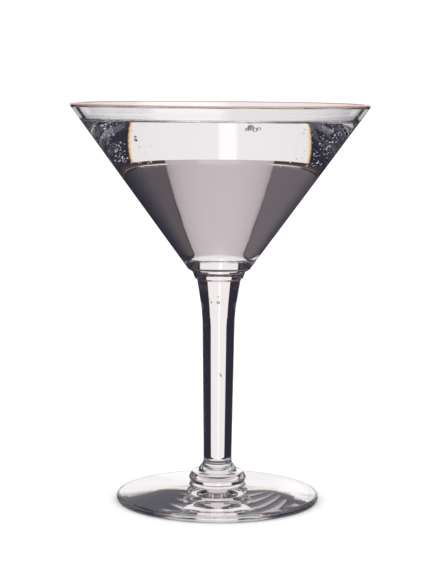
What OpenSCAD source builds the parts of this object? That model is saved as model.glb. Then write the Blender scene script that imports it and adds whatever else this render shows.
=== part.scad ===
// Martini cocktail in its stemmed cone glass.
// Both pieces are solids of revolution about +Z. The origin is the centre of the ring that
// the foot stands on, and z = 0 is the table. Millimetres.

/* [Bowl] */
// Overall height of the glass
glass_h = 155.2; // [153:0.1:175]
// Outer diameter of the bowl at the lip
rim_d = 116; // [110:0.2:120]
// Angle between the bowl's wall and the axis, in degrees
wall_angle = 36.1; // [35:0.1:37]
// Thickness of the bowl's wall, square to it
wall = 2.4; // [1.8:0.1:2.8]
// Radius that rounds the outer edge of the flat lip
lip_round = 0.7; // [0.4:0.1:0.9]
// Height of the bottom of the hollow above the table
hollow_z = 96; // [92.8:0.1:97]
// Radius that rounds the bottom of the hollow into the cone
hollow_round = 7; // [3:0.5:8]

/* [Drink] */
// Depth of the still surface below the lip
headspace = 5.4; // [5:0.1:20]
// How far the drink climbs the wall at its edge
meniscus_h = 0.8; // [0.5:0.1:2.4]

/* [Stem] */
// Diameter of the stem above the foot
stem_low_d = 10.9; // [9:0.1:12]
// Diameter of the stem below its flare
stem_top_d = 12.7; // [11:0.1:14]
// Diameter at the top of the flare
flare_d = 17; // [15.5:0.1:18]
// Diameter of the ring between the flare and the bowl
ring_d = 20.6; // [20:0.1:21]

/* [Foot] */
// Diameter of the foot
foot_d = 79.2; // [70:0.2:90]
// Thickness of the foot's rolled edge
foot_edge = 2.6; // [2.2:0.1:3.2]
// Height of the foot's upper face where it meets the collar
foot_rise = 6; // [5.6:0.1:6.8]
// How far the underside is hollowed at its centre
punt = 0.5; // [0.5:0.1:3]
// Diameter of the collar round the bottom of the stem
collar_d = 22.2; // [20:0.1:25]

/* [Hidden] */

// Straight steps in each 90 degrees of a rounding
round_steps = 8;
$fn = 96;

// Radius at which the bowl's outer face would meet the flat top of the lip unrounded
lip_corner_r = rim_d / 2 + lip_round * (1 / tan(45 - wall_angle / 2) - 1);
// Radius of the bowl's outer face and of its hollow at the height z
function bowl_r(z) = lip_corner_r + (z - glass_h) * tan(wall_angle);
function hollow_r(z) = bowl_r(z) - wall / cos(wall_angle);

// Heights and radii of the steps between the foot and the bowl
collar_low_z = 7.4;
collar_top_z = 11.2;
neck_r = 7.4;
neck_top_z = 12.5;
stem_low_z = 15;
stem_top_z = 74;
flare_z = 87.1;
ring_low_z = 87.7;
ring_top_z = 90.2;
bowl_low_z = 91.2;

// Drink: the height of its still surface, and of its edge on the wall
level_z = glass_h - headspace;
edge_z = level_z + meniscus_h;
meniscus_w = 2 * meniscus_h;

// The underside is a shallow dome inside the standing ring
stand_r = foot_d / 2 - 4;
dome_r = (stand_r * stand_r + punt * punt) / (2 * punt);

function unit(v) = v / norm(v);

// Points along an arc about c, from angle a to angle b
function arc(c, r, a, b, steps) =
    [for (i = [0 : steps]) let (t = a + (b - a) * i / steps) c + r * [cos(t), sin(t)]];

// Arc of radius r that rounds the corner at q, between its neighbours p and s
function corner(p, q, s, r) =
    let (
        to_p = unit(p - q),
        to_s = unit(s - q),
        half = acos(to_p * to_s) / 2,
        c = q + unit(to_p + to_s) * r / sin(half),
        start = q + to_p * r / tan(half) - c,
        end = q + to_s * r / tan(half) - c,
        a = atan2(start[1], start[0]),
        turn = atan2(end[1], end[0]) - a,
        sweep = turn > 180 ? turn - 360 : turn < -180 ? turn + 360 : turn
    )
    arc(c, r, a, a + sweep, max(2, ceil(round_steps * abs(sweep) / 90)));

// Outline through rows of [radius, height, rounding]; its two ends stay sharp
function rounded(rows) =
    let (at = [for (row = rows) [row[0], row[1]]], last = len(rows) - 1)
    [for (i = [0 : last])
        for (p = i == 0 || i == last ? [at[i]] : corner(at[i - 1], at[i], at[i + 1], rows[i][2]))
            p];

// All but the first of a list of points, and all but the first and the last
function but_first(points) = [for (i = [1 : len(points) - 1]) points[i]];
function between(points) = [for (i = [1 : len(points) - 2]) points[i]];

// Outside of the glass, from the standing ring up over the lip to the edge of the drink
outside = rounded([
    [stand_r, 0],
    [foot_d / 2, 0, foot_edge / 2],
    [foot_d / 2, foot_edge, foot_edge / 2 - 0.1],
    [collar_d / 2 - 0.1, foot_rise, 0.4],
    [collar_d / 2 - 0.3, collar_low_z, 0.3],
    [collar_d / 2 + 0.2, collar_low_z + 1.4, 1.2],
    [collar_d / 2 - 1, collar_top_z, 0.8],
    [neck_r, collar_top_z + 0.2, 0.3],
    [neck_r, neck_top_z, 0.6],
    [stem_low_d / 2, stem_low_z, 2.5],
    [stem_top_d / 2, stem_top_z, 60],
    [flare_d / 2, flare_z, 0.3],
    [ring_d / 2 - 0.9, ring_low_z, 0.2],
    [ring_d / 2, ring_top_z, 0.5],
    [bowl_r(bowl_low_z), bowl_low_z, 1],
    [bowl_r(glass_h), glass_h, lip_round],
    [hollow_r(glass_h), glass_h, 0.6],
    [hollow_r(edge_z), edge_z]
]);

// Hollow of the bowl below the drink's edge, down to the axis
hollow = rounded([
    [hollow_r(edge_z), edge_z],
    [hollow_r(hollow_z), hollow_z, hollow_round],
    [0, hollow_z]
]);

// Underside of the foot, from the axis to the standing ring
underside = arc([0, punt - dome_r], dome_r, 90, 90 - asin(stand_r / dome_r), round_steps);

module glass() {
    color([0.93, 0.95, 0.96, 0.45])
        rotate_extrude()
            polygon(concat(outside, but_first(hollow), between(concat([[0, 0]], underside))));
}

// The drink climbs the wall in a curve that is steepest at the glass
function meniscus(t) = [hollow_r(edge_z) - meniscus_w * t, level_z + meniscus_h * pow(1 - t, 2.4)];

module drink() {
    surface = [for (i = [1 : round_steps]) meniscus(1 - i / round_steps)];
    color([0.78, 0.74, 0.76, 0.8])
        rotate_extrude()
            polygon(concat([[0, level_z], meniscus(1)], surface, between(hollow), [[0, hollow_z]]));
}

glass();
drink();
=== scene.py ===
# %% [markdown]
# # A martini in its glass
# A clear cocktail is drawn almost wholly by what it bends and mirrors. The glass and the drink
# have next to no colour, so this scene spends its care on two things: the exact turned outline
# of the glass, and the studio that shows through it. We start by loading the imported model. It
# says how large everything is and is never moved, and all sizes below are taken from it or are
# named here in millimetres.

# %% Load the frame
import bpy
from math import acos, asin, atan2, ceil, cos, degrees, pi, radians, sin, tan
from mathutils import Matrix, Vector


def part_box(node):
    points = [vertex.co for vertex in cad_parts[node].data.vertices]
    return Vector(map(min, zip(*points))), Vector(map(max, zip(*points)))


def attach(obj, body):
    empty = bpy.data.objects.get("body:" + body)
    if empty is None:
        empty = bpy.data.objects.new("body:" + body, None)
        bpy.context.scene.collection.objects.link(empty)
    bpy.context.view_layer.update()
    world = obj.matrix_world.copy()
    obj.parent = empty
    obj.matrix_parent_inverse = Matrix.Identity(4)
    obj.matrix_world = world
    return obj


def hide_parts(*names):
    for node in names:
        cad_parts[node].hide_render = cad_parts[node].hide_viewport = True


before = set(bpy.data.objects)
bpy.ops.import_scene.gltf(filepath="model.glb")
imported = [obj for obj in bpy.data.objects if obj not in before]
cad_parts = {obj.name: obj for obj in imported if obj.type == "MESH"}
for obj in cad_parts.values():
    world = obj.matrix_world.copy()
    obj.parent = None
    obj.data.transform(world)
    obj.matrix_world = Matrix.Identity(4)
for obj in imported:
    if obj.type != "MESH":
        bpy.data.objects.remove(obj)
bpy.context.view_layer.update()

MM = 0.001
glass_low, glass_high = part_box("glass")
drink_low, drink_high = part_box("drink")
GLASS_H = glass_high[2] / MM
LIP_R = glass_high[0] / MM
DRINK_EDGE_Z = drink_high[2] / MM
HOLLOW_Z = drink_low[2] / MM
print(f"glass {GLASS_H:.1f} mm high, lip radius {LIP_R:.1f} mm, drink up to {DRINK_EDGE_Z:.1f} mm")

# %% [markdown]
# ## One way to write node trees
# Both the turned shapes and the finishes are node trees. A socket is wrapped in a small class
# whose operators add Math nodes, so that a formula in a tree reads like a formula in Python.
# One method adds any other node: first its settings, then the values or links of its inputs.


# %% Sockets that can be added and multiplied
class Field:
    def __init__(self, socket):
        self.socket = socket
        self.tree = socket.id_data

    def node(self, kind, settings, inputs, output=0):
        return add_node(self.tree, kind, settings, inputs, output)

    def math(self, operation, *values):
        return self.node("ShaderNodeMath", {"operation": operation}, dict(enumerate(values)))

    def __add__(self, other): return self.math("ADD", self, other)
    def __radd__(self, other): return self.math("ADD", other, self)
    def __sub__(self, other): return self.math("SUBTRACT", self, other)
    def __rsub__(self, other): return self.math("SUBTRACT", other, self)
    def __mul__(self, other): return self.math("MULTIPLY", self, other)
    def __rmul__(self, other): return self.math("MULTIPLY", other, self)
    def __pow__(self, other): return self.math("POWER", self, other)
    def __truediv__(self, other): return self.math("DIVIDE", self, other)
    def __mod__(self, other): return self.math("FLOORED_MODULO", self, other)


def add_node(tree, kind, settings, inputs, output=0):
    made = tree.nodes.new(kind)
    for name, value in settings.items():
        setattr(made, name, value)
    for key, value in inputs.items():
        if isinstance(value, Field):
            tree.links.new(value.socket, made.inputs[key])
        else:
            made.inputs[key].default_value = value
    return Field(made.outputs[output])


def ramp(value, start, end, low=0.0, high=1.0):
    """Goes smoothly from low to high as value goes from start to end."""
    return value.node("ShaderNodeMapRange", {"interpolation_type": "SMOOTHSTEP"},
                      {"Value": value, "From Min": start, "From Max": end,
                       "To Min": low, "To Max": high})


# %% [markdown]
# ## The outline
# A wine glass is drawn as half of its section: a closed line of radius against height, walked
# up the outside, over the lip, down the hollow and out under the foot. Each corner of the line
# is a row of radius, height and rounding, and a function turns the corner into a true arc.
# Smooth shading blends the direction of a face towards its neighbours, and glass shows the
# smallest error in that. So each straight stretch also gets two points close to its ends, which
# hold it straight right up to the arc.

# %% Helpers that draw an outline
ARC_STEP = 7.5      # degrees between the points of an arc
HOLD = 0.12         # distance of the holding points from the ends of a straight stretch


def on_circle(centre, radius, angle):
    return Vector((centre[0] + radius * cos(angle), centre[1] + radius * sin(angle)))


def arc(centre, radius, start, end):
    steps = max(3, ceil(degrees(abs(end - start)) / ARC_STEP))
    return [on_circle(centre, radius, start + (end - start) * i / steps) for i in range(steps + 1)]


def corner(before, at, after, radius):
    """The arc that rounds the corner at a point, between its two neighbours."""
    to_before, to_after = (before - at).normalized(), (after - at).normalized()
    half = acos(max(-1, min(1, to_before.dot(to_after)))) / 2
    centre = at + (to_before + to_after).normalized() * radius / sin(half)
    first = at + to_before * radius / tan(half) - centre
    last = at + to_after * radius / tan(half) - centre
    start = atan2(first[1], first[0])
    turn = (atan2(last[1], last[0]) - start + pi) % (2 * pi) - pi
    return arc(centre, radius, start, start + turn)


def rounded(rows):
    """Points along rows of (radius, height, rounding), whose two ends stay sharp."""
    at = [Vector(row[:2]) for row in rows]
    points = [at[0]]
    for i in range(1, len(rows) - 1):
        points += corner(at[i - 1], at[i], at[i + 1], rows[i][2])
    return points + [at[-1]]


def held(points):
    """The same line, with a holding point near both ends of each straight stretch."""
    result = [points[0]]
    for a, b in zip(points, points[1:]):
        length = (b - a).length
        if length > 4 * HOLD:
            result += [a.lerp(b, HOLD / length), a.lerp(b, 1 - HOLD / length)]
        result.append(b)
    return result


# %% [markdown]
# The outline itself repeats the form of the CAD solids. The bowl is a straight cone with a wall
# of even thickness, cut flat at the lip, and both edges of the lip are polished to a small
# rounding. The foot is a low cone that rises to a collar, which is a bead of glass where the
# stem was joined on. The underside is a very shallow dome, so that the foot stands on a ring.
# An underside this flat mirrors all the light that reaches it at a low angle, so the near half
# of the foot shows a dark part of the room and not the white table.

# %% Outline of the glass
WALL_ANGLE = radians(36.1)
WALL = 2.4
LIP_ROUND = 0.7
lip_corner_r = LIP_R + LIP_ROUND * (1 / tan(pi / 4 - WALL_ANGLE / 2) - 1)


def bowl_r(z):
    return lip_corner_r + (z - GLASS_H) * tan(WALL_ANGLE)


def hollow_r(z):
    return bowl_r(z) - WALL / cos(WALL_ANGLE)


FOOT_R = 39.6
FOOT_EDGE = 2.6     # thickness of the foot's rolled edge
FOOT_RISE = 6.0
STAND_R = FOOT_R - 4
PUNT = 0.5          # height of the dome under the foot
COLLAR_R = 11.1
NECK_R = 7.4        # the step between the collar and the stem
STEM_LOW_R = 5.45
STEM_TOP_R = 6.35
FLARE_R = 8.5
RING_R = 10.3       # the ring under the bowl
BOWL_LOW_Z = 91.2
HOLLOW_ROUND = 7
outside = rounded([
    (STAND_R, 0),
    (FOOT_R, 0, FOOT_EDGE / 2),
    (FOOT_R, FOOT_EDGE, FOOT_EDGE / 2 - 0.1),
    (COLLAR_R - 0.1, FOOT_RISE, 0.4),
    (COLLAR_R - 0.3, 7.4, 0.3),
    (COLLAR_R + 0.2, 8.8, 1.2),
    (COLLAR_R - 1, 11.2, 0.8),
    (NECK_R, 11.4, 0.3),
    (NECK_R, 12.5, 0.6),
    (STEM_LOW_R, 15, 2.5),
    (STEM_TOP_R, 74, 60),
    (FLARE_R, 87.1, 0.3),
    (RING_R - 0.9, 87.7, 0.2),
    (RING_R, 90.2, 0.5),
    (bowl_r(BOWL_LOW_Z), BOWL_LOW_Z, 1),
    (bowl_r(GLASS_H), GLASS_H, LIP_ROUND),
    (hollow_r(GLASS_H), GLASS_H, 0.6),
    (hollow_r(DRINK_EDGE_Z), DRINK_EDGE_Z),
])
hollow = rounded([
    (hollow_r(DRINK_EDGE_Z), DRINK_EDGE_Z),
    (hollow_r(HOLLOW_Z), HOLLOW_Z, HOLLOW_ROUND),
    (0, HOLLOW_Z),
])
dome_r = (STAND_R ** 2 + PUNT ** 2) / (2 * PUNT)
underside = arc((0, PUNT - dome_r), dome_r, pi / 2, pi / 2 - asin(STAND_R / dome_r))

dry = held(outside)
wet = held(hollow)
under = held(underside[:-1] + outside[:1])
print(f"outline of the glass: {len(dry) + len(wet) + len(under)} points")

# %% [markdown]
# ## A lathe in Geometry Nodes
# A glass is a turned shape, so a lathe is the natural tool: it takes an outline and carries it
# round the axis. Here it is a node tree with a named input for the number of steps. It makes a
# flat grid with one row per step and one column per point of the outline, then reads the
# outline's radius and height for each column and bends the grid round. Merging the doubled
# points closes the seam and the two poles. Where the outline is marked as wet, the faces get a
# second material, for glass that touches the drink and not air. The mark "lip" gives the edge
# of the lip a third one.

# %% The lathe tree
STEPS_ROUND = 192


def lathe_tree():
    tree = bpy.data.node_groups.new("lathe", "GeometryNodeTree")
    for name, kind, way in (("Outline", "NodeSocketGeometry", "INPUT"),
                            ("Steps", "NodeSocketInt", "INPUT"),
                            ("Dry material", "NodeSocketMaterial", "INPUT"),
                            ("Wet material", "NodeSocketMaterial", "INPUT"),
                            ("Lip material", "NodeSocketMaterial", "INPUT"),
                            ("Turned", "NodeSocketGeometry", "OUTPUT")):
        tree.interface.new_socket(name, in_out=way, socket_type=kind)
    source = tree.nodes.new("NodeGroupInput")
    given = {s.name: Field(s) for s in source.outputs if s.name}
    outline, steps = given["Outline"], given["Steps"]
    count = outline.node("GeometryNodeAttributeDomainSize", {"component": "MESH"},
                         {"Geometry": outline})
    grid = count.node("GeometryNodeMeshGrid", {},
                      {"Vertices X": steps + 1, "Vertices Y": count})
    index = grid.node("GeometryNodeInputIndex", {}, {})
    column = index % count
    row = ((index - column) / count).math("ROUND", (index - column) / count)

    def on_outline(kind, value):
        return index.node("GeometryNodeSampleIndex", {"data_type": kind, "domain": "POINT"},
                          {"Geometry": outline, "Value": value, "Index": column})

    place = on_outline("FLOAT_VECTOR", index.node("GeometryNodeInputPosition", {}, {}))
    split = index.tree.nodes.new("ShaderNodeSeparateXYZ")
    tree.links.new(place.socket, split.inputs[0])
    radius, height = Field(split.outputs["X"]), Field(split.outputs["Z"])
    angle = row / steps * (2 * pi)
    bent = index.node("ShaderNodeCombineXYZ", {}, {
        "X": radius * angle.math("COSINE", angle),
        "Y": radius * angle.math("SINE", angle),
        "Z": height})
    shape = grid.node("GeometryNodeSetPosition", {}, {"Geometry": grid, "Position": bent})
    for mark in ("wet", "lip"):
        named = index.node("GeometryNodeInputNamedAttribute", {"data_type": "BOOLEAN"},
                           {"Name": mark})
        shape = shape.node("GeometryNodeStoreNamedAttribute",
                           {"data_type": "BOOLEAN", "domain": "POINT"},
                           {"Geometry": shape, "Name": mark, "Value": on_outline("BOOLEAN", named)})
    shape = shape.node("GeometryNodeMergeByDistance", {}, {"Geometry": shape, "Distance": 1e-6})
    shape = shape.node("GeometryNodeSetShadeSmooth", {}, {"Geometry": shape})
    shape = shape.node("GeometryNodeSetMaterial", {},
                       {"Geometry": shape, "Material": given["Dry material"]})
    for mark, material in (("wet", "Wet material"), ("lip", "Lip material")):
        marked = shape.node("GeometryNodeInputNamedAttribute", {"data_type": "BOOLEAN"},
                            {"Name": mark})
        shape = shape.node("GeometryNodeSetMaterial", {},
                           {"Geometry": shape, "Material": given[material], "Selection": marked})
    target = tree.nodes.new("NodeGroupOutput")
    tree.links.new(shape.socket, target.inputs["Turned"])
    return tree


lathe = lathe_tree()
print("lathe tree:", len(lathe.nodes), "nodes")

# %% [markdown]
# A modifier can't leave this file, because the model is exported as plain meshes. So each shape
# Each shape is worked out once with its modifier, kept as a plain mesh of its own, and the modifier
# is removed.

# %% Turning an outline into a plain mesh
def set_inputs(modifier, values):
    sockets = {s.name: s.identifier for s in modifier.node_group.interface.items_tree
               if s.in_out == "INPUT"}
    for name, value in values.items():
        modifier[sockets[name]] = value


def plain_mesh(obj, name):
    """Bakes the object's modifiers into a plain mesh, with its modifiers removed."""
    evaluated = obj.evaluated_get(bpy.context.evaluated_depsgraph_get())
    mesh = bpy.data.meshes.new_from_object(evaluated)
    mesh.name = name
    obj.modifiers.clear()
    obj.data = mesh
    return obj


def turned(name, points, marks, materials):
    """Turns an outline. A mark is the range of points that gets the material of that name."""
    mesh = bpy.data.meshes.new(name + "_outline")
    mesh.from_pydata([(p[0] * MM, 0, p[1] * MM) for p in points],
                     [(i, i + 1) for i in range(len(points) - 1)], [])
    for mark in ("wet", "lip"):
        here = marks.get(mark, range(0))
        mesh.attributes.new(mark, "BOOLEAN", "POINT").data.foreach_set(
            "value", [i in here for i in range(len(points))])
    obj = bpy.data.objects.new(name, mesh)
    bpy.context.scene.collection.objects.link(obj)
    modifier = obj.modifiers.new("lathe", "NODES")
    modifier.node_group = lathe
    set_inputs(modifier, {"Steps": STEPS_ROUND, **materials})
    plain_mesh(obj, name)
    print(f"{name}: {len(obj.data.vertices)} points, {len(obj.data.polygons)} faces, "
          f"{len(obj.data.materials)} materials")
    return obj


# %% [markdown]
# ## Glass and drink as materials
# Light bends by the ratio of the two media at a face. Most of the glass lies between air and glass,
# with a ratio of 1.517. The wall below the drink lies between drink and glass, so its ratio is only
# 1.517 / 1.345, and such a face mirrors almost nothing. The still surface of the drink is between
# air and drink. The drink's own side and bottom reach just into the wall, and bend nothing, because
# the wet face of the glass already does. The edge of the lip has a thin copper colour painted on.
# It is a painted reflection, standing in for the warm light that the edge of the rim picks up, and
# it covers most of what would be seen through it. Its ratio is low, so that it mirrors little.

# %% Materials
IOR_GLASS = 1.517
IOR_DRINK = 1.345
IOR_PAINTED_LIP = 1.15


def clear_material(name, ior, colour, clearness=1.0):
    """A smooth clear material. Where its clearness is below 1, the rest is plain colour."""
    material = bpy.data.materials.new(name)
    material.use_nodes = True
    shader = material.node_tree.nodes["Principled BSDF"]
    shader.inputs["Base Color"].default_value = (*colour, 1)
    shader.inputs["Roughness"].default_value = 0
    shader.inputs["IOR"].default_value = ior
    shader.inputs["Transmission Weight"].default_value = clearness
    return material


WHITE = (1, 1, 1)
# The lip's copper colour is a painted reflection: it stands in for the warm light that the edge of
# the rim picks up.
LIP_PAINTED_REFLECTION = (0.55, 0.34, 0.28)
polished = clear_material("polished_glass", IOR_GLASS, WHITE)
painted_lip_reflection = clear_material("lip_painted_reflection", IOR_PAINTED_LIP, LIP_PAINTED_REFLECTION, 0.25)
wetted = clear_material("wetted_glass", IOR_GLASS / IOR_DRINK, WHITE)
surface = clear_material("drink_surface", IOR_DRINK, WHITE)
side = clear_material("drink_against_glass", 1.0, WHITE)
print("materials:", ", ".join(m.name for m in bpy.data.materials))

# %% [markdown]
# ## The glass
# The glass is one turned piece. Its outline runs up the dry outside and over the lip, down the
# wet hollow and out under the foot. The wet mark covers the hollow up to the edge of the drink.
# The lip mark starts on the rounding of the lip's outer edge and ends a little way down inside.

# %% The glass
LIP_PAINT_OUT = 0.6      # how far the painted reflection reaches down the outside
LIP_PAINT_IN = 1.1       # and down the inside
outline = dry + wet[1:] + under
top_start = min(i for i in range(len(dry)) if dry[i][1] > GLASS_H - LIP_PAINT_OUT)
lip_points = [i for i in range(top_start, len(dry)) if dry[i][1] > GLASS_H - LIP_PAINT_IN]
glass = turned("martini_glass", outline,
               {"wet": range(len(dry) - 1, len(dry) + len(wet) - 1),
                "lip": lip_points},
               {"Dry material": polished, "Wet material": wetted, "Lip material": painted_lip_reflection})
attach(glass, "root")
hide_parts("glass")

# %% [markdown]
# ## The drink
# A liquid climbs the wall a little at its edge, in a curve that is steepest at the glass. A
# renderer would show a gap of air if the drink stopped just short of the wall, so its side and
# bottom lie a little way inside the glass. The outline starts at the bottom, so that the faces
# of the turned shape look outward.

# %% The drink
MENISCUS_H = 0.8
MENISCUS_W = 2 * MENISCUS_H
MENISCUS_STEPS = 16
INTO_WALL = 0.15
level = DRINK_EDGE_Z - MENISCUS_H


def climb(t):
    """The curve of the edge, from the wall at t = 0 to the still surface at t = 1."""
    return Vector((hollow_r(DRINK_EDGE_Z) - MENISCUS_W * t,
                   level + MENISCUS_H * (1 - t) ** 2.4))


into_wall = INTO_WALL / cos(WALL_ANGLE)
bottom_z = HOLLOW_Z - INTO_WALL
bottom = rounded([
    (0, bottom_z),
    (hollow_r(bottom_z) + into_wall, bottom_z, HOLLOW_ROUND + INTO_WALL),
    (hollow_r(DRINK_EDGE_Z) + into_wall, DRINK_EDGE_Z),
])
still = [climb(i / MENISCUS_STEPS) for i in range(MENISCUS_STEPS + 1)] + [Vector((0, level))]
touching = held(bottom)
drink = turned("martini_drink", touching + held(still), {"wet": range(len(touching))},
               {"Dry material": surface, "Wet material": side, "Lip material": surface})
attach(drink, "root")
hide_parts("drink")

# %% [markdown]
# ## Bubbles
# The pour leaves fine bubbles on the wall just below the surface, most of them on the two
# sides. Placing each by hand would be slow, so a node tree with a fixed seed does it. It
# scatters points in a patch of the wall, puts a ball on each and makes them real. The wall is a
# cone or a rod, given as its radius at the table and its slope.

# %% The bubble tree
OFF_WALL = 1.6          # radii from the wall to the middle of a bubble
DEEPEST = 0.8 * MM      # how much farther in a bubble may lie


def bubble_tree():
    tree = bpy.data.node_groups.new("bubbles", "GeometryNodeTree")
    for name in ("Count", "Seed"):
        tree.interface.new_socket(name, in_out="INPUT", socket_type="NodeSocketInt")
    for name in ("Angle", "Spread", "Radius", "Slope", "Low", "High", "Smallest", "Largest"):
        tree.interface.new_socket(name, in_out="INPUT", socket_type="NodeSocketFloat")
    tree.interface.new_socket("Material", in_out="INPUT", socket_type="NodeSocketMaterial")
    tree.interface.new_socket("Bubbles", in_out="OUTPUT", socket_type="NodeSocketGeometry")
    source = tree.nodes.new("NodeGroupInput")
    given = {s.name: Field(s) for s in source.outputs if s.name}

    def chance(low, high, number):
        return add_node(tree, "FunctionNodeRandomValue", {"data_type": "FLOAT"},
                        {"Min": low, "Max": high, "Seed": given["Seed"] + number}, "Value")

    angle = given["Angle"] + given["Spread"] * chance(-1, 1, 1) * chance(0, 1, 2)
    height = chance(given["Low"], given["High"], 3)
    size = given["Smallest"] + (given["Largest"] - given["Smallest"]) * chance(0, 1, 4) ** 3
    wall = given["Radius"] + height * given["Slope"]
    radius = wall - size * OFF_WALL - chance(0, DEEPEST, 5)
    place = add_node(tree, "ShaderNodeCombineXYZ", {}, {
        "X": radius * angle.math("SINE", angle),
        "Y": radius * angle.math("COSINE", angle), "Z": height})
    points = add_node(tree, "GeometryNodePoints", {},
                      {"Count": given["Count"], "Position": place, "Radius": size})
    ball = add_node(tree, "GeometryNodeMeshIcoSphere", {}, {"Radius": 1.0, "Subdivisions": 3})
    own = add_node(tree, "GeometryNodeInputRadius", {}, {})
    shape = add_node(tree, "GeometryNodeInstanceOnPoints", {},
                     {"Points": points, "Instance": ball, "Scale": own})
    shape = shape.node("GeometryNodeRealizeInstances", {}, {"Geometry": shape})
    shape = shape.node("GeometryNodeSetShadeSmooth", {}, {"Geometry": shape})
    shape = shape.node("GeometryNodeSetMaterial", {},
                       {"Geometry": shape, "Material": given["Material"]})
    target = tree.nodes.new("NodeGroupOutput")
    tree.links.new(shape.socket, target.inputs["Bubbles"])
    return tree


scatter = bubble_tree()
print("bubble tree:", len(scatter.nodes), "nodes")

# %% [markdown]
# A bubble is a pocket of air, so light crosses its face from the drink or the glass to air, and
# the ratio is 1 / 1.345 or 1 / 1.517. That suits the larger bubbles, which show a dark outline.
# The fine ones are too small for an outline to show. They are near-white balls with a faint glow:
# the white is a painted highlight, where real bubbles would mirror the lit panels, and the glow is
# one that real bubbles don't have, so that they stay light specks before the dark sides.

# %% Materials of the bubbles
FINE_GLOW = (0.8, 0.82, 0.95)
FINE_GLOW_STRENGTH = 0.4


def air_in(name, ior):
    material = bpy.data.materials.new(name)
    material.use_nodes = True
    shader = material.node_tree.nodes.new("ShaderNodeBsdfGlass")
    shader.inputs["Roughness"].default_value = 0
    shader.inputs["IOR"].default_value = 1 / ior
    material.node_tree.links.new(shader.outputs[0],
                                 material.node_tree.nodes["Material Output"].inputs[0])
    return material


air = air_in("air_in_drink", IOR_DRINK)
seed = air_in("air_in_glass", IOR_GLASS)
# The fine bubbles' near-white colour and faint glow are painted highlights.
fine = clear_material("fine_bubbles_painted_highlight", 1.0, WHITE, 0.1)
fine_shader = fine.node_tree.nodes["Principled BSDF"]
fine_shader.inputs["Emission Color"].default_value = (*FINE_GLOW, 1)
fine_shader.inputs["Emission Strength"].default_value = FINE_GLOW_STRENGTH
print("bubbles:", air.name, seed.name, fine.name)

# %% [markdown]
# There are two patches of fine bubbles, left and right. A few larger bubbles sit at the edge of
# the surface in front, and three more beside them to the left. Angles are counted from behind
# the glass, so 180 degrees is the side that faces the camera.

# %% Scatter the bubbles
def bubbles(name, slot, material, **values):
    obj = bpy.data.objects.new(name, bpy.data.meshes.new(name + "_start"))
    bpy.context.scene.collection.objects.link(obj)
    modifier = obj.modifiers.new("bubbles", "NODES")
    modifier.node_group = scatter
    set_inputs(modifier, {**values, "Material": material})
    plain_mesh(obj, name)
    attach(obj, "root")
    print(f"{name}: {len(obj.data.polygons)} faces")


on_wall = {"Radius": hollow_r(0) * MM, "Slope": tan(WALL_ANGLE)}
at_side = {**on_wall, "Count": 130, "Spread": radians(34), "Low": 133.5 * MM, "High": 149 * MM,
           "Smallest": 0.14 * MM, "Largest": 0.45 * MM}
bubbles("bubbles_left", "clear_drink", fine, **at_side, Seed=3, Angle=radians(-122))
bubbles("bubbles_right", "clear_drink", fine, **at_side, Seed=8, Angle=radians(120))
bubbles("bubbles_front", "clear_drink", air, **on_wall, Count=9, Seed=5, Angle=radians(167.6),
        Spread=radians(5), Low=147.4 * MM, High=148.6 * MM, Smallest=0.7 * MM, Largest=1.1 * MM)
bubbles("bubbles_beside", "clear_drink", air, **on_wall, Count=3, Seed=2, Angle=radians(-140),
        Spread=radians(1.5), Low=142 * MM, High=144.5 * MM, Smallest=0.5 * MM, Largest=0.8 * MM)

# %% [markdown]
# ## Seeds in the stem
# Seeds are the small bubbles that stay in the glass itself. The stem has a few near its top and
# near its middle. They use the same tree, with the stem's radius and its slight slope.

# %% Seeds in the stem
in_stem = {"Radius": 5.9 * MM, "Slope": 0.012}
bubbles("seeds_high", "clear_glass", seed, **in_stem, Count=4, Seed=4, Angle=radians(180),
        Spread=radians(70), Low=78.5 * MM, High=82 * MM, Smallest=0.3 * MM, Largest=0.6 * MM)
bubbles("seeds_low", "clear_glass", seed, **in_stem, Count=2, Seed=6, Angle=radians(170),
        Spread=radians(16), Low=50 * MM, High=51.2 * MM, Smallest=0.3 * MM, Largest=0.5 * MM)

# %% [markdown]
# ## Camera
# A long lens from a little above the lip shows the bowl with hardly any perspective. The camera
# leans a little to one side.

# %% Camera
LOOK_DOWN = 6.91
ROLL = -0.44
camera = bpy.data.objects.new("camera", bpy.data.cameras.new("camera"))
bpy.context.scene.collection.objects.link(camera)
bpy.context.scene.camera = camera
camera.data.lens = 111.07
camera.data.sensor_width = 36
camera.location = (-0.0002, -0.686, 0.167)
camera.rotation_euler = (radians(90 - LOOK_DOWN), radians(ROLL), 0)
print("camera at", tuple(round(x, 4) for x in camera.location))

# %% [markdown]
# ## Floor
# The glass stands on white paper. The paper takes the soft shadow under the foot, but the glass
# doesn't see it: what shows through and in the glass is drawn in the world below, where it is
# easier to place.

# %% Floor
mesh = bpy.data.meshes.new("floor")
mesh.from_pydata([(-6, -3, 0), (6, -3, 0), (6, 12, 0), (-6, 12, 0)], [], [(0, 1, 2, 3)])
floor = bpy.data.objects.new("floor", mesh)
bpy.context.scene.collection.objects.link(floor)
paper = bpy.data.materials.new("white_paper")
paper.use_nodes = True
paper_shader = paper.node_tree.nodes["Principled BSDF"]
paper_shader.inputs["Base Color"].default_value = (0.95, 0.95, 0.95, 1)
paper_shader.inputs["Roughness"].default_value = 1
floor.data.materials.append(paper)
floor.visible_transmission = False
floor.visible_glossy = False
print("floor:", paper.name)

# %% [markdown]
# ## Directions in the studio
# A clear glass is usually lit by a pale panel behind it, between dark sides that draw its
# outline. Such a studio could be built from lamps and cards. Here it is a formula of the
# direction in which a ray leaves: its azimuth to the left or right of straight behind, and its
# height, both in degrees. That treats every panel as far away, and each can be moved by a number.

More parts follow.
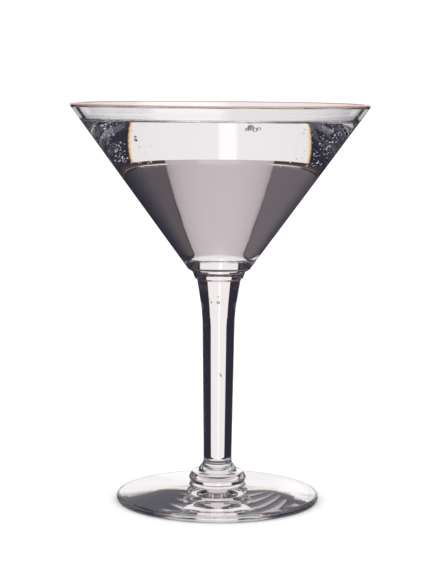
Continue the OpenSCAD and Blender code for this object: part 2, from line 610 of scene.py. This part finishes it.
# %% Directions
world = bpy.data.worlds.new("studio")
bpy.context.scene.world = world
world.use_nodes = True
world.cycles.sampling_method = "NONE"
tree = world.node_tree
way = add_node(tree, "ShaderNodeTexCoord", {}, {}, "Generated")
split = tree.nodes.new("ShaderNodeSeparateXYZ")
tree.links.new(way.socket, split.inputs[0])
wx, wy, wz = (Field(split.outputs[i]) for i in range(3))
azimuth = wx.math("ARCTAN2", wx, wy) * (180 / pi)
turn = azimuth.math("ABSOLUTE", azimuth)
height = wz.math("ARCSINE", wz) * (180 / pi)


def near(value, middle, half, fade):
    """Is 1 within half a width of the middle, and fades smoothly to 0 outside it."""
    gap = value - middle
    return ramp(gap.math("ABSOLUTE", gap), half, half + fade, 1, 0)


def mix(a, b, factor):
    made = tree.nodes.new("ShaderNodeMix")
    made.data_type = "RGBA"
    for socket, value in ((made.inputs[0], factor), (made.inputs[6], a), (made.inputs[7], b)):
        if isinstance(value, Field):
            tree.links.new(value.socket, socket)
        elif isinstance(value, tuple):
            socket.default_value = (*value, 1)
        else:
            socket.default_value = value
    return Field(made.outputs[2])


print("the world is a function of azimuth and height")

# %% [markdown]
# ## What stands behind the glass
# The pale panel behind is wider above than below, and a brighter strip runs up its middle. High
# up it gives way to a mauve ceiling. The cone of drink bends light like a prism: its lower part
# shows the ceiling, and its upper part shows the panel, mirrored at the underside of the
# surface. Glass and drink split white light a little at a strong edge. The renderer doesn't, so
# a thin orange fringe on the panel's edge stands for it.

# %% The panel behind
PANEL = (0.94, 0.90, 0.905)
BRIGHT = (1.1, 1.08, 1.08)
FRINGE = (0.98, 0.64, 0.28)
MAUVE = (0.66, 0.58, 0.60)
edge = ramp(height, -7, -3, 20, 22.2) - ramp(height, -13.5, -11, 8, 0)
inside = ramp(turn - edge, 0, 1, 1, 0)
fringe = ramp(turn - edge, -0.9, 0.2) * ramp(height, -4, -2)
strip = near(azimuth, -1.5, 1.3, 0.8) * ramp(height, 14, 18, 1, 0)
behind = mix(mix(PANEL, BRIGHT, strip), FRINGE, fringe)
behind = mix(behind, MAUVE, ramp(height, 26, 30.3))
print("panel behind: about 22 degrees to each side")

# %% [markdown]
# ## The sides
# The sides are dark, and slightly paler high up, more so on the left. A full glass swaps left
# and right, so that side shows at the right of the drink. Two panels stand behind the camera,
# in the corners of the room, and a card stands at the left. The camera of this scene hardly
# sees them, but from some other sides the glass would look almost black without them.

# %% The dark sides and their cards
DARK = (0.027, 0.025, 0.040)
UPPER = (0.115, 0.10, 0.108)
UPPER_LEFT = (0.16, 0.138, 0.152)
left = azimuth.math("LESS_THAN", azimuth, 0)
sides = mix(DARK, mix(UPPER, UPPER_LEFT, left), ramp(height + left * 8, 43, 58))
corner_panels = near(turn, 135, 18, 4) * 0.7 * ramp(height, 28, 34, 1, 0)
sides = mix(sides, PANEL, corner_panels)
side_card = near(azimuth, -86, 12, 4) * ramp(height, -20, -16) * ramp(height, 34, 38, 1, 0)
sides = mix(sides, PANEL, side_card)
band = mix(sides, behind, inside)
print("sides: dark, with two corner panels and one card")

# %% [markdown]
# ## The table
# Rays that pass through the glass and leave it downward see the table. It is pale behind the
# glass, and dark to the sides and straight below. A grey card lies behind the glass on the
# left, so that the bowl and the foot stay clear when they are seen from above on the right. It
# costs a few faint streaks in the near half of the foot.

# %% The table
PALE = (0.9, 0.88, 0.88)
TABLE = (0.04, 0.04, 0.07)
UNDER = (0.15, 0.15, 0.17)
GREY = (0.55, 0.53, 0.54)
below = mix(PALE, TABLE, ramp(turn, 28, 40))
below = mix(UNDER, below, ramp(height, -50, -46))
through = mix(below, band, ramp(height, -26, -18))
low_card = near(azimuth, -45, 14, 5) * ramp(height, -16, -14, 1, 0)
through = mix(through, GREY, low_card)
print("table: pale behind, dark at the sides, one grey card")

# %% [markdown]
# ## Which ray sees what
# A ray that was mirrored last sees a dark table and a weaker ceiling than one that passed
# through. A real room doesn't do that, but it keeps the dark zones of the bowl and the foot
# dark. The camera and the paper see plain white, so that the background stays white and the
# paper is evenly lit. Glass needs many bounces, or the light inside it ends in black.

# %% The world's colour
PLAIN = (1.3, 1.3, 1.3)
BOUNCES = 40
mirrored = mix(DARK, band, ramp(height, -8, -4) * ramp(height, 12, 20, 1, 0.48))
path = tree.nodes.new("ShaderNodeLightPath")
studio = mix(through, mirrored, Field(path.outputs["Is Reflection Ray"]))
seen = Field(path.outputs["Is Camera Ray"])
spread = Field(path.outputs["Is Diffuse Ray"])
colour = mix(studio, PLAIN, seen.math("MAXIMUM", seen, spread))
tree.links.new(colour.socket, tree.nodes["Background"].inputs["Color"])
bpy.context.scene.cycles.max_bounces = BOUNCES
bpy.context.scene.cycles.glossy_bounces = BOUNCES
bpy.context.scene.cycles.transmission_bounces = BOUNCES
bpy.context.scene.view_settings.view_transform = "Standard"
print("world:", len(tree.nodes), "nodes")
